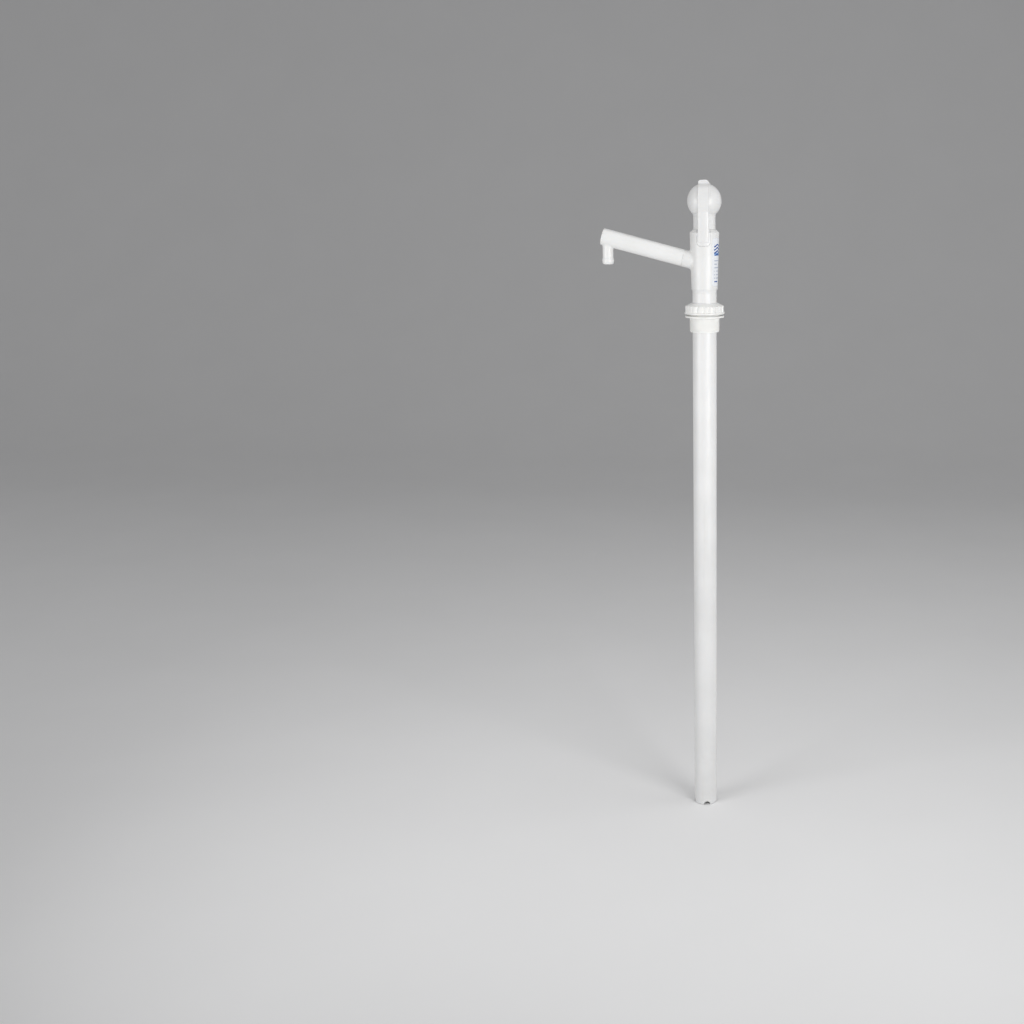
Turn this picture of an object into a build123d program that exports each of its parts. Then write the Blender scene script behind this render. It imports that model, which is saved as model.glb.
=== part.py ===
from build123d import *
import os
from math import cos, radians, sin, sqrt

# Drum barrel pump, in millimetres. The Z axis is the suction tube's axis, and z = 0 is the underside of the
# bung adapter's flange. The spout points towards -X and the key band of the knob faces -Y and +Y.

# Standard pipe and thread sizes, as radii
TUBE_R, TUBE_BORE_R = 24.13, 20.45
SPOUT_R, SPOUT_BORE_R = 16.7, 13.3
SMALL_PIPE_R, SMALL_PIPE_BORE_R = 10.67, 7.9
THREAD_R = 30.15

# Gaps
GLUE_GAP = 0.05
RUN_GAP = 0.05
SLIDE_GAP = 0.2
FILM_GAP = 0.01
PART_GAP = 0.3
LOOSE_GAP = 0.4

# Extra reach of a cutting shape past the wall that it cuts
CUT_REACH = 5.0

# Heights of the visible parts
FOOT_Z = -1056.0
HEAD_Z, HEAD_RIM_Z = 55.0, 172.0
KNOB_BALL_Z = 226.6

# Travels
HANDLE_STROKE = 450.0
BALL_LIFT = 6.0

# Head moulding
HEAD_FOOT_R, HEAD_TOP_R = 26.1, 29.2
RIM_CHAMFER, RIM_TOP_R = 6.0, 23.5
TUBE_TOP_Z = 93.0
CHAMBER_R = 21.5
SHELF_Z, SHELF_T = 128.0, 10.0
BUSH_R = 16.0
SLEEVE_R = 22.35
NOTCH_W, NOTCH_CORNER_R, NOTCH_Z = 27.0, 8.0, 140.0

# Spout: its axis starts on the Z axis and rises towards -X
SPOUT_SLOPE = 14.6
SPOUT_START_Z = 105.6
BOSS_END, BOSS_SOCKET_R, BOSS_SOCKET_DEPTH = 44.0, 14.9, 12.0
BOSS_FILLET = 3.5
SPOUT_END, CAP_T, CAP_FILLET = 208.3, 2.8, 1.8
NOZZLE_X = -192.9
NOZZLE_Z, NOZZLE_TOP_Z = 104.3, 143.5
LIP_R, LIP_TOP_Z = 9.0, 110.3
BEAD_R, BEAD_TOP_Z, BEAD_SLOPE_TOP_Z = 11.7, 112.5, 115.5

# Knob
BALL_R, NECK_R, KNOB_WALL = 33.8, 22.0, 3.5
TONGUE_GAP = 0.5
NECK_Z = NOTCH_Z + TONGUE_GAP
BAND_R, BAND_W = 34.7, 21.0
TONGUE_R, TONGUE_CHAMFER_Z, TONGUE_TOP_R = 28.9, HEAD_RIM_Z - RIM_CHAMFER, 23.3
STRAP_R, STRAP_Z = 29.6, 148.0
NUB_L = 20.0
NUB_OUTLINE = (
    (-11.3, 248.0),
    (12.3, 248.0),
    (10.8, 259.5),
    (6.8, 266.0),
    (3.3, 267.2),
    (-8.8, 266.4),
    (-11.3, 264.2),
)

# Bung adapter and clamp
FLANGE_R, FLANGE_T, FLANGE_ROUND = 39.0, 3.5, 0.8
THREAD_L, THREAD_CHAMFER = 29.0, 1.6
CROWN_R, CROWN_Z = 31.2, 20.0
CONE_FOOT_R, CONE_TOP_R, CONE_FOOT_Z = 25.2, 28.6, 8.0
NUT_DISC_R, NUT_R, NUT_CAVITY_R = 40.2, 38.5, 31.6
NUT_Z, NUT_DISC_T, NUT_WALL_TOP_Z, NUT_TOP_Z = 7.0, 3.5, 22.5, 28.5
NUT_MOUTH_R, NUT_TOP_R = 24.6, 26.6
RIBS, RIB_GROOVE_R, RIB_GROOVE_OUT = 20, 2.6, 0.6
WASHER_R, WASHER_Z, WASHER_T = 30.8, 21.8, 2.0

# Piston and foot valve
PISTON_Z = -985.0
PISTON_BALL_R, PISTON_SEAT_R = 9.5, 7.5
FOOT_VALVE_Z = -1042.0
FOOT_BALL_R, FOOT_SEAT_R = 12.7, 9.0
FOOT_NOTCH_R, FOOT_NOTCH_TURN = 7.0, 11.0
INLET_R = 20.7


def head_radius(z):
    """Outer radius of the tapered head at a height."""
    taper_top = HEAD_RIM_Z - RIM_CHAMFER
    return HEAD_FOOT_R + (HEAD_TOP_R - HEAD_FOOT_R) * (z - HEAD_Z) / (taper_top - HEAD_Z)


def ball_rest(edge_z, seat_r, ball_r):
    """Centre height of a check ball that hovers a part gap over the seat edge at edge_z."""
    return edge_z + sqrt(ball_r**2 - seat_r**2) + PART_GAP


def spout_plane(distance):
    """Plane across the spout's axis, at a distance along it from the Z axis."""
    slope = radians(SPOUT_SLOPE)
    along = Vector(-cos(slope), 0, sin(slope))
    return Plane(origin=Vector(0, 0, SPOUT_START_Z) + along * distance, x_dir=(0, 1, 0), z_dir=along)


def save(builder, node):
    """Label a finished piece and write its STEP file."""
    builder.part.label = node
    export_step(builder.part, f"parts/{node}.step")


os.makedirs("parts", exist_ok=True)

# --- bung adapter: flange, two inch male thread at its crest size, and crown with the collet's cone ---
ADAPTER_BORE_R = TUBE_R + SLIDE_GAP
with BuildPart() as bung_adapter:
    with BuildSketch(Plane.XZ):
        with BuildLine():
            Polyline(
                (ADAPTER_BORE_R, -THREAD_L),
                (THREAD_R - THREAD_CHAMFER, -THREAD_L),
                (THREAD_R, -THREAD_L + THREAD_CHAMFER),
                (THREAD_R, 0),
                (FLANGE_R, 0),
                (FLANGE_R, FLANGE_T),
                (CROWN_R, FLANGE_T),
                (CROWN_R, CROWN_Z),
                (CONE_TOP_R, CROWN_Z),
                (CONE_FOOT_R, CONE_FOOT_Z),
                (ADAPTER_BORE_R, CONE_FOOT_Z),
                close=True,
            )
        make_face()
    revolve(axis=Axis.Z)
    adapter_rims = bung_adapter.edges().filter_by(GeomType.CIRCLE)
    fillet(adapter_rims.filter_by(lambda edge: edge.radius > CROWN_R + 1), FLANGE_ROUND)
save(bung_adapter, "bung_adapter")

# --- grip collet: split ring, tapered to the adapter's cone, that grips the suction tube ---
COLLET_Z, COLLET_TOP_Z, COLLET_SLIT = 9.0, 21.5, 2.0
COLLET_FOOT_R, COLLET_TOP_R = 25.1, 28.1
with BuildPart() as grip_collet:
    with BuildSketch(Plane.XZ):
        with BuildLine():
            Polyline(
                (TUBE_R + RUN_GAP, COLLET_Z),
                (COLLET_FOOT_R, COLLET_Z),
                (COLLET_TOP_R, CROWN_Z),
                (COLLET_TOP_R, COLLET_TOP_Z),
                (TUBE_R + RUN_GAP, COLLET_TOP_Z),
                close=True,
            )
        make_face()
    revolve(axis=Axis.Z)
    with BuildSketch(Plane.XY.offset(COLLET_Z)):
        with Locations((TUBE_R, 0)):
            Rectangle(2 * CUT_REACH, COLLET_SLIT)
    extrude(amount=COLLET_TOP_Z - COLLET_Z, mode=Mode.SUBTRACT)
save(grip_collet, "grip_collet")

# --- thrust washer: lets the nut turn without turning the collet ---
with BuildPart() as thrust_washer:
    with BuildSketch(Plane.XY.offset(WASHER_Z)):
        Circle(WASHER_R)
        Circle(TUBE_R + LOOSE_GAP, mode=Mode.SUBTRACT)
    extrude(amount=WASHER_T)
save(thrust_washer, "thrust_washer")

# --- clamp nut: thin disc, ribbed wall and ribbed cone ---
with BuildPart() as clamp_nut:
    with BuildSketch(Plane.XZ):
        with BuildLine():
            Polyline(
                (NUT_CAVITY_R, NUT_Z),
                (NUT_DISC_R, NUT_Z),
                (NUT_DISC_R, NUT_Z + NUT_DISC_T),
                (NUT_R, NUT_Z + NUT_DISC_T),
                (NUT_R, NUT_WALL_TOP_Z),
                (NUT_TOP_R, NUT_TOP_Z),
                (NUT_MOUTH_R, NUT_TOP_Z),
                (NUT_MOUTH_R, WASHER_Z + WASHER_T + PART_GAP),
                (NUT_CAVITY_R, WASHER_Z + WASHER_T + PART_GAP),
                close=True,
            )
        make_face()
    revolve(axis=Axis.Z)
    with BuildSketch(Plane.XY.offset(NUT_Z + NUT_DISC_T)):
        with PolarLocations(NUT_R + RIB_GROOVE_OUT, RIBS):
            Circle(RIB_GROOVE_R)
    extrude(amount=NUT_TOP_Z - NUT_Z, mode=Mode.SUBTRACT)
save(clamp_nut, "clamp_nut")

# --- suction tube: one and a half inch pipe, reamed below the foot valve, with four arched notches at the foot ---
with BuildPart() as suction_tube:
    with BuildSketch(Plane.XY.offset(FOOT_Z)):
        Circle(TUBE_R)
        Circle(TUBE_BORE_R, mode=Mode.SUBTRACT)
    extrude(amount=TUBE_TOP_Z - FOOT_Z)
    with BuildSketch(Plane.XY.offset(FOOT_Z)):
        Circle(INLET_R)
    extrude(amount=FOOT_VALVE_Z - FOOT_Z, mode=Mode.SUBTRACT)
    for turn in (FOOT_NOTCH_TURN, FOOT_NOTCH_TURN + 90):
        with BuildSketch(Plane.XZ.rotated((0, 0, turn))):
            with Locations((0, FOOT_Z)):
                Circle(FOOT_NOTCH_R)
        extrude(amount=TUBE_R + CUT_REACH, both=True, mode=Mode.SUBTRACT)
save(suction_tube, "suction_tube")

# --- pump head: tube socket, discharge chamber, shelf for the rod bush, and sleeve for the knob's neck ---
with BuildPart() as pump_head:
    with BuildSketch(Plane.XZ):
        with BuildLine():
            Polyline(
                (0, HEAD_Z),
                (HEAD_FOOT_R, HEAD_Z),
                (HEAD_TOP_R, HEAD_RIM_Z - RIM_CHAMFER),
                (RIM_TOP_R, HEAD_RIM_Z),
                (0, HEAD_RIM_Z),
                close=True,
            )
        make_face()
    revolve(axis=Axis.Z)
    with BuildSketch(spout_plane(0)):
        Circle(SPOUT_R)
    extrude(amount=BOSS_END)
    boss_wall = pump_head.faces().filter_by(GeomType.CYLINDER)[0]
    boss_root = boss_wall.edges().filter_by(GeomType.CIRCLE, reverse=True).sort_by(SortBy.LENGTH)[-1]
    fillet(boss_root, BOSS_FILLET)
    # hollows, from the foot up
    with BuildSketch(Plane.XZ):
        with BuildLine():
            Polyline(
                (0, HEAD_Z),
                (TUBE_R + GLUE_GAP, HEAD_Z),
                (TUBE_R + GLUE_GAP, TUBE_TOP_Z),
                (CHAMBER_R, TUBE_TOP_Z),
                (CHAMBER_R, SHELF_Z),
                (BUSH_R + GLUE_GAP, SHELF_Z),
                (BUSH_R + GLUE_GAP, SHELF_Z + SHELF_T),
                (SLEEVE_R, SHELF_Z + SHELF_T),
                (SLEEVE_R, HEAD_RIM_Z),
                (0, HEAD_RIM_Z),
                close=True,
            )
        make_face()
    revolve(axis=Axis.Z, mode=Mode.SUBTRACT)
    # the spout's waterway and the socket for its pipe
    with BuildSketch(spout_plane(0)):
        Circle(SPOUT_BORE_R)
    extrude(amount=BOSS_END, mode=Mode.SUBTRACT)
    with BuildSketch(spout_plane(BOSS_END - BOSS_SOCKET_DEPTH)):
        Circle(BOSS_SOCKET_R)
    extrude(amount=BOSS_SOCKET_DEPTH, mode=Mode.SUBTRACT)
    # the front and back notches for the knob's tongues
    with BuildSketch(Plane.XZ):
        with Locations((0, HEAD_RIM_Z)):
            RectangleRounded(NOTCH_W, 2 * (HEAD_RIM_Z - NOTCH_Z), NOTCH_CORNER_R)
    extrude(amount=HEAD_TOP_R + CUT_REACH, both=True, mode=Mode.SUBTRACT)
save(pump_head, "pump_head")

# --- label: thin film round the +X side of the head ---
LABEL_Z, LABEL_TOP_Z, LABEL_T = 62.0, 156.0, 0.25
LABEL_START, LABEL_SWEEP = -52.0, 90.0
with BuildPart() as label_film:
    with BuildSketch(Plane.XZ.rotated((0, 0, LABEL_START))):
        with BuildLine():
            Polyline(
                (head_radius(LABEL_Z) + FILM_GAP, LABEL_Z),
                (head_radius(LABEL_Z) + LABEL_T, LABEL_Z),
                (head_radius(LABEL_TOP_Z) + LABEL_T, LABEL_TOP_Z),
                (head_radius(LABEL_TOP_Z) + FILM_GAP, LABEL_TOP_Z),
                close=True,
            )
        make_face()
    revolve(axis=Axis.Z, revolution_arc=LABEL_SWEEP)
save(label_film, "label")

# --- rod bush with its O-ring groove, held in the head's shelf ---
GROOVE_Z, GROOVE_H, GROOVE_R = 131.5, 3.4, 13.75
BUSH_FLANGE_R, BUSH_FLANGE_TOP_Z = BUSH_R + 3.0, SHELF_Z + SHELF_T + 2.0
with BuildPart() as head_guide_bush:
    with BuildSketch(Plane.XZ):
        with BuildLine():
            Polyline(
                (SMALL_PIPE_R + RUN_GAP, SHELF_Z),
                (BUSH_R, SHELF_Z),
                (BUSH_R, SHELF_Z + SHELF_T),
                (BUSH_FLANGE_R, SHELF_Z + SHELF_T),
                (BUSH_FLANGE_R, BUSH_FLANGE_TOP_Z),
                (SMALL_PIPE_R + RUN_GAP, BUSH_FLANGE_TOP_Z),
                (SMALL_PIPE_R + RUN_GAP, GROOVE_Z + GROOVE_H),
                (GROOVE_R, GROOVE_Z + GROOVE_H),
                (GROOVE_R, GROOVE_Z),
                (SMALL_PIPE_R + RUN_GAP, GROOVE_Z),
                close=True,
            )
        make_face()
    revolve(axis=Axis.Z)
save(head_guide_bush, "head_guide_bush")

ROD_ORING_R, ROD_ORING_SECTION_R = 12.15, 1.4
with BuildPart() as rod_oring:
    with BuildSketch(Plane.XZ):
        with Locations((ROD_ORING_R, GROOVE_Z + GROOVE_H / 2)):
            Circle(ROD_ORING_SECTION_R)
    revolve(axis=Axis.Z)
save(rod_oring, "rod_oring")

# --- spout pipe, with a spigot at its root and the nozzle's hole near its end ---
with BuildPart() as spout_tube:
    with BuildSketch(spout_plane(BOSS_END)):
        Circle(SPOUT_R)
    extrude(amount=SPOUT_END - BOSS_END)
    with BuildSketch(spout_plane(BOSS_END - BOSS_SOCKET_DEPTH + PART_GAP)):
        Circle(BOSS_SOCKET_R - GLUE_GAP)
    extrude(amount=BOSS_SOCKET_DEPTH - PART_GAP)
    with BuildSketch(spout_plane(0)):
        Circle(SPOUT_BORE_R)
    extrude(amount=SPOUT_END, mode=Mode.SUBTRACT)
    with BuildSketch(Plane.XY.offset(NOZZLE_Z)):
        with Locations((NOZZLE_X, 0)):
            Circle(SMALL_PIPE_R + GLUE_GAP)
    extrude(amount=NOZZLE_TOP_Z + CUT_REACH - NOZZLE_Z, mode=Mode.SUBTRACT)
save(spout_tube, "spout_tube")

with BuildPart() as spout_end_cap:
    with BuildSketch(spout_plane(SPOUT_END)):
        Circle(SPOUT_R)
    extrude(amount=CAP_T)
    outer_face = spout_end_cap.faces().sort_by(Axis.X)[0]
    fillet(outer_face.edges(), CAP_FILLET)
save(spout_end_cap, "spout_end_cap")

# --- spout nozzle: half inch pipe with a rolled bead round its mouth ---
with BuildPart() as spout_nozzle:
    with BuildSketch(Plane.XZ.shift_origin((NOZZLE_X, 0, 0))):
        with BuildLine():
            lip = TangentArc((BEAD_R, LIP_TOP_Z), (LIP_R, NOZZLE_Z), tangent=(0, -1))
            Polyline(
                lip @ 1,
                (SMALL_PIPE_BORE_R, NOZZLE_Z),
                (SMALL_PIPE_BORE_R, NOZZLE_TOP_Z),
                (SMALL_PIPE_R, NOZZLE_TOP_Z),
                (SMALL_PIPE_R, BEAD_SLOPE_TOP_Z),
                (BEAD_R, BEAD_TOP_Z),
                lip @ 0,
            )
        make_face()
    revolve(axis=Axis((NOZZLE_X, 0, 0), (0, 0, 1)))
save(spout_nozzle, "spout_nozzle")

# --- knob: hollow ball and neck, with the key band over the ball and the tongues beside the neck ---
with BuildPart() as pull_knob:
    with BuildSketch(Plane.XY.offset(NECK_Z)):
        Circle(NECK_R)
    extrude(amount=KNOB_BALL_Z - NECK_Z)
    with Locations((0, 0, KNOB_BALL_Z)):
        Sphere(BALL_R)
    with BuildSketch(Plane.YZ):
        with Locations((0, KNOB_BALL_Z)):
            Circle(BAND_R)
    extrude(amount=BAND_W / 2, both=True)
    with BuildSketch(Plane.XY.offset(STRAP_Z)):
        Circle(STRAP_R)
        Rectangle(BAND_W, 2 * (STRAP_R + CUT_REACH), mode=Mode.INTERSECT)
    extrude(amount=KNOB_BALL_Z - STRAP_Z)
    # the wide ends of the tongues, which fill the head's notches and carry on its rim chamfer
    with BuildSketch(Plane.XZ):
        with Locations((0, HEAD_RIM_Z)):
            RectangleRounded(NOTCH_W - TONGUE_GAP, 2 * (HEAD_RIM_Z - NECK_Z), NOTCH_CORNER_R)
    tongue_block = extrude(amount=TONGUE_R + CUT_REACH, both=True, mode=Mode.PRIVATE)
    with BuildSketch(Plane.XZ):
        with BuildLine():
            Polyline(
                (0, NECK_Z),
                (TONGUE_R, NECK_Z),
                (TONGUE_R, TONGUE_CHAMFER_Z),
                (TONGUE_TOP_R, HEAD_RIM_Z),
                (0, HEAD_RIM_Z),
                close=True,
            )
        make_face()
    tongue_disc = revolve(axis=Axis.Z, mode=Mode.PRIVATE)
    add(tongue_block & tongue_disc)
    # the nub on top, steep on one side and sloped on the other
    with BuildSketch(Plane.XZ):
        with BuildLine():
            Polyline(*NUB_OUTLINE, close=True)
        make_face()
    extrude(amount=NUB_L / 2, both=True)
    # the hollow
    with Locations((0, 0, KNOB_BALL_Z)):
        Sphere(BALL_R - KNOB_WALL, mode=Mode.SUBTRACT)
    with BuildSketch(Plane.XY.offset(NECK_Z)):
        Circle(NECK_R - KNOB_WALL)
    extrude(amount=KNOB_BALL_Z - NECK_Z, mode=Mode.SUBTRACT)
save(pull_knob, "pull_knob")

# --- hub in the knob's neck, with a blind socket for the rod and a hole for its cross pin ---
HUB_R, HUB_BOSS_R = NECK_R - KNOB_WALL - GLUE_GAP, 15.0
HUB_STEP_Z, HUB_TOP_Z, ROD_TOP_Z, KNOB_PIN_Z = 165.0, 190.0, 186.0, 176.0
PIN_R, PIN_CHAMFER, PIN_END_GAP = 2.5, 0.5, 0.4
with BuildPart() as knob_hub:
    with BuildSketch(Plane.XZ):
        with BuildLine():
            Polyline(
                (0, NECK_Z),
                (HUB_R, NECK_Z),
                (HUB_R, HUB_STEP_Z),
                (HUB_BOSS_R, HUB_STEP_Z),
                (HUB_BOSS_R, HUB_TOP_Z),
                (0, HUB_TOP_Z),
                close=True,
            )
        make_face()
    revolve(axis=Axis.Z)
    with BuildSketch(Plane.XY.offset(NECK_Z)):
        Circle(SMALL_PIPE_R + GLUE_GAP)
    extrude(amount=ROD_TOP_Z - NECK_Z, mode=Mode.SUBTRACT)
    with BuildSketch(Plane.YZ):
        with Locations((0, KNOB_PIN_Z)):
            Circle(PIN_R + GLUE_GAP)
    extrude(amount=HUB_R + CUT_REACH, both=True, mode=Mode.SUBTRACT)
save(knob_hub, "knob_hub")

with BuildPart() as knob_pin:
    with BuildSketch(Plane.YZ):
        with Locations((0, KNOB_PIN_Z)):
            Circle(PIN_R)
    extrude(amount=HUB_BOSS_R - PIN_END_GAP, both=True)
    chamfer(knob_pin.edges().filter_by(GeomType.CIRCLE), PIN_CHAMFER)
save(knob_pin, "knob_pin")

# --- rod: half inch pipe from the hub to the piston's stem ---
ROD_Z, PISTON_PIN_Z = PISTON_Z + 45.0, PISTON_Z + 57.0
with BuildPart() as piston_rod:
    with BuildSketch(Plane.XY.offset(ROD_Z)):
        Circle(SMALL_PIPE_R)
        Circle(SMALL_PIPE_BORE_R, mode=Mode.SUBTRACT)
    extrude(amount=ROD_TOP_Z - ROD_Z)
    with BuildSketch(Plane.YZ):
        with Locations((0, KNOB_PIN_Z), (0, PISTON_PIN_Z)):
            Circle(PIN_R + GLUE_GAP)
    extrude(amount=SMALL_PIPE_R + CUT_REACH, both=True, mode=Mode.SUBTRACT)
save(piston_rod, "piston_rod")

COLLAR_R, COLLAR_L, COLLAR_CHAMFER = 15.0, 18.0, 1.0
COLLAR_TOP_Z = SHELF_Z - HANDLE_STROKE - LOOSE_GAP
with BuildPart() as rod_stop_collar:
    with BuildSketch(Plane.XY.offset(COLLAR_TOP_Z - COLLAR_L)):
        Circle(COLLAR_R)
        Circle(SMALL_PIPE_R + GLUE_GAP, mode=Mode.SUBTRACT)
    extrude(amount=COLLAR_L)
    collar_rims = rod_stop_collar.edges().filter_by(GeomType.CIRCLE)
    chamfer(collar_rims.filter_by(lambda edge: edge.radius > SMALL_PIPE_R + 1), COLLAR_CHAMFER)
save(rod_stop_collar, "rod_stop_collar")

with BuildPart() as piston_pin:
    with BuildSketch(Plane.YZ):
        with Locations((0, PISTON_PIN_Z)):
            Circle(PIN_R)
    extrude(amount=SMALL_PIPE_R - PIN_END_GAP, both=True)
    chamfer(piston_pin.edges().filter_by(GeomType.CIRCLE), PIN_CHAMFER)
save(piston_pin, "piston_pin")

# --- piston: seat ring, cup seal, and cage with the check ball's chamber, four windows and a stem ---
SEAT_FLANGE_R, SEAT_FLANGE_TOP_Z, SEAT_TOP_Z = 19.6, PISTON_Z + 4.0, PISTON_Z + 14.0
SPIGOT_R = 12.5
with BuildPart() as piston_seat:
    with BuildSketch(Plane.XZ):
        with BuildLine():
            Polyline(
                (PISTON_SEAT_R, PISTON_Z),
                (SEAT_FLANGE_R, PISTON_Z),
                (SEAT_FLANGE_R, SEAT_FLANGE_TOP_Z),
                (SPIGOT_R, SEAT_FLANGE_TOP_Z),
                (SPIGOT_R, SEAT_TOP_Z),
                (PISTON_SEAT_R, SEAT_TOP_Z),
                close=True,
            )
        make_face()
    revolve(axis=Axis.Z)
save(piston_seat, "piston_seat")

CUP_Z, CUP_TOP_Z = SEAT_FLANGE_TOP_Z, PISTON_Z + 13.0
CUP_R, CUP_LIP_Z = TUBE_BORE_R - RUN_GAP, CUP_Z + 5.0
CUP_WEB_TOP_Z, CUP_WEB_R, CUP_MOUTH_R = CUP_Z + 3.5, 18.2, 18.9
with BuildPart() as piston_cup_seal:
    with BuildSketch(Plane.XZ):
        with BuildLine():
            Polyline(
                (SPIGOT_R + GLUE_GAP, CUP_Z),
                (SEAT_FLANGE_R, CUP_Z),
                (CUP_R, CUP_LIP_Z),
                (CUP_R, CUP_TOP_Z),
                (CUP_MOUTH_R, CUP_TOP_Z),
                (CUP_WEB_R, CUP_WEB_TOP_Z),
                (SPIGOT_R + GLUE_GAP, CUP_WEB_TOP_Z),
                close=True,
            )
        make_face()
    revolve(axis=Axis.Z)
save(piston_cup_seal, "piston_cup_seal")

CAGE_R, CAGE_CHAMBER_R, CAGE_WAIST_R = 17.6, 12.0, 15.5
GUIDE_R, GUIDE_Z, GUIDE_TOP_Z = 19.8, PISTON_Z + 15.0, PISTON_Z + 19.0
CAGE_ROOF_Z, CAGE_NECK_Z = PISTON_Z + 36.0, ROD_Z - 3.0
STEM_R, STEM_TOP_Z = SMALL_PIPE_BORE_R - GLUE_GAP, ROD_Z + 25.0
WINDOW_W, WINDOW_H, WINDOW_CORNER_R, WINDOW_Z = 10.0, 14.0, 3.0, PISTON_Z + 27.0
with BuildPart() as piston_cage:
    with BuildSketch(Plane.XZ):
        with BuildLine():
            Polyline(
                (SPIGOT_R + GLUE_GAP, CUP_WEB_TOP_Z),
                (CAGE_R, CUP_WEB_TOP_Z),
                (CAGE_R, GUIDE_Z),
                (GUIDE_R, GUIDE_Z),
                (GUIDE_R, GUIDE_TOP_Z),
                (CAGE_WAIST_R, GUIDE_TOP_Z),
                (CAGE_WAIST_R, CAGE_NECK_Z),
                (SMALL_PIPE_R, ROD_Z),
                (STEM_R, ROD_Z),
                (STEM_R, STEM_TOP_Z),
                (0, STEM_TOP_Z),
                (0, CAGE_ROOF_Z),
                (CAGE_CHAMBER_R, CAGE_ROOF_Z),
                (CAGE_CHAMBER_R, SEAT_TOP_Z + PART_GAP),
                (SPIGOT_R + GLUE_GAP, SEAT_TOP_Z + PART_GAP),
                close=True,
            )
        make_face()
    revolve(axis=Axis.Z)
    for side_plane in (Plane.XZ, Plane.YZ):
        with BuildSketch(side_plane):
            with Locations((0, WINDOW_Z)):
                RectangleRounded(WINDOW_W, WINDOW_H, WINDOW_CORNER_R)
        extrude(amount=CAGE_R, both=True, mode=Mode.SUBTRACT)
    with BuildSketch(Plane.YZ):
        with Locations((0, PISTON_PIN_Z)):
            Circle(PIN_R + GLUE_GAP)
    extrude(amount=SMALL_PIPE_R, both=True, mode=Mode.SUBTRACT)
save(piston_cage, "piston_cage")

with BuildPart() as piston_valve_ball:
    with Locations((0, 0, ball_rest(SEAT_TOP_Z, PISTON_SEAT_R, PISTON_BALL_R))):
        Sphere(PISTON_BALL_R)
save(piston_valve_ball, "piston_valve_ball")

# --- foot valve: seat body glued in the tube, O-ring, check ball, and perforated stop over the ball ---
FOOT_EDGE_Z = FOOT_VALVE_Z + 10.0
FOOT_CHAMBER_R, FOOT_BODY_R = 15.5, TUBE_BORE_R - GLUE_GAP
FOOT_CONE_R, FOOT_CONE_TOP_Z = FOOT_SEAT_R + 2.5, FOOT_EDGE_Z + 4.0
FOOT_BALL_Z = ball_rest(FOOT_EDGE_Z, FOOT_SEAT_R, FOOT_BALL_R)
FOOT_STOP_Z = FOOT_BALL_Z + FOOT_BALL_R + BALL_LIFT + PART_GAP
FOOT_GROOVE_Z, FOOT_GROOVE_H, FOOT_GROOVE_R = FOOT_VALVE_Z + 3.0, 3.4, 17.5
with BuildPart() as foot_valve_body:
    with BuildSketch(Plane.XZ):
        with BuildLine():
            Polyline(
                (FOOT_SEAT_R, FOOT_VALVE_Z),
                (FOOT_BODY_R, FOOT_VALVE_Z),
                (FOOT_BODY_R, FOOT_GROOVE_Z),
                (FOOT_GROOVE_R, FOOT_GROOVE_Z),
                (FOOT_GROOVE_R, FOOT_GROOVE_Z + FOOT_GROOVE_H),
                (FOOT_BODY_R, FOOT_GROOVE_Z + FOOT_GROOVE_H),
                (FOOT_BODY_R, FOOT_STOP_Z),
                (FOOT_CHAMBER_R, FOOT_STOP_Z),
                (FOOT_CHAMBER_R, FOOT_CONE_TOP_Z),
                (FOOT_CONE_R, FOOT_EDGE_Z),
                (FOOT_SEAT_R, FOOT_EDGE_Z),
                close=True,
            )
        make_face()
    revolve(axis=Axis.Z)
save(foot_valve_body, "foot_valve_body")

FOOT_ORING_R, FOOT_ORING_SECTION_R = 18.95, 1.4
with BuildPart() as foot_valve_oring:
    with BuildSketch(Plane.XZ):
        with Locations((FOOT_ORING_R, FOOT_GROOVE_Z + FOOT_GROOVE_H / 2)):
            Circle(FOOT_ORING_SECTION_R)
    revolve(axis=Axis.Z)
save(foot_valve_oring, "foot_valve_oring")

STOP_T, STOP_HOLE_R, STOP_HOLE_RING_R, STOP_HOLES = 4.0, 4.2, 12.0, 6
with BuildPart() as foot_valve_cage:
    with BuildSketch(Plane.XY.offset(FOOT_STOP_Z)):
        Circle(FOOT_BODY_R)
        with PolarLocations(STOP_HOLE_RING_R, STOP_HOLES):
            Circle(STOP_HOLE_R, mode=Mode.SUBTRACT)
    extrude(amount=STOP_T)
save(foot_valve_cage, "foot_valve_cage")

with BuildPart() as foot_valve_ball:
    with Locations((0, 0, FOOT_BALL_Z)):
        Sphere(FOOT_BALL_R)
save(foot_valve_ball, "foot_valve_ball")
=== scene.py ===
from math import cos, pi, radians, sin, sqrt, tau

import bpy
import numpy as np
from mathutils import Euler, Matrix, Vector


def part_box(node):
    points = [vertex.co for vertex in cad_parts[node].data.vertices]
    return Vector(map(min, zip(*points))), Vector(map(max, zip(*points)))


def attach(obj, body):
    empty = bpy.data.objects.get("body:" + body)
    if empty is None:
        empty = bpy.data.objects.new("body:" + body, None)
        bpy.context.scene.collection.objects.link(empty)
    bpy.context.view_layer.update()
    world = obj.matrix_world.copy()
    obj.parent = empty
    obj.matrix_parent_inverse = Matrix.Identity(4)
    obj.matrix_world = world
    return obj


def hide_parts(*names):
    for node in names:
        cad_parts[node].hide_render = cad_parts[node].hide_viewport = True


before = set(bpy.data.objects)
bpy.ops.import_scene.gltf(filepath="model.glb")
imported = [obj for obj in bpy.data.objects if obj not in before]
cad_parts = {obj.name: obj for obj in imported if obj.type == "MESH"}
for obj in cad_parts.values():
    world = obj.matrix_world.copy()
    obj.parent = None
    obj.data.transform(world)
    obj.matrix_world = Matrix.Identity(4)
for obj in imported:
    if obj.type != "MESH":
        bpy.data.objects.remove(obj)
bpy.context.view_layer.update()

MM = 0.001

# ---------------------------------------------------------------- sizes, in millimetres


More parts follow.
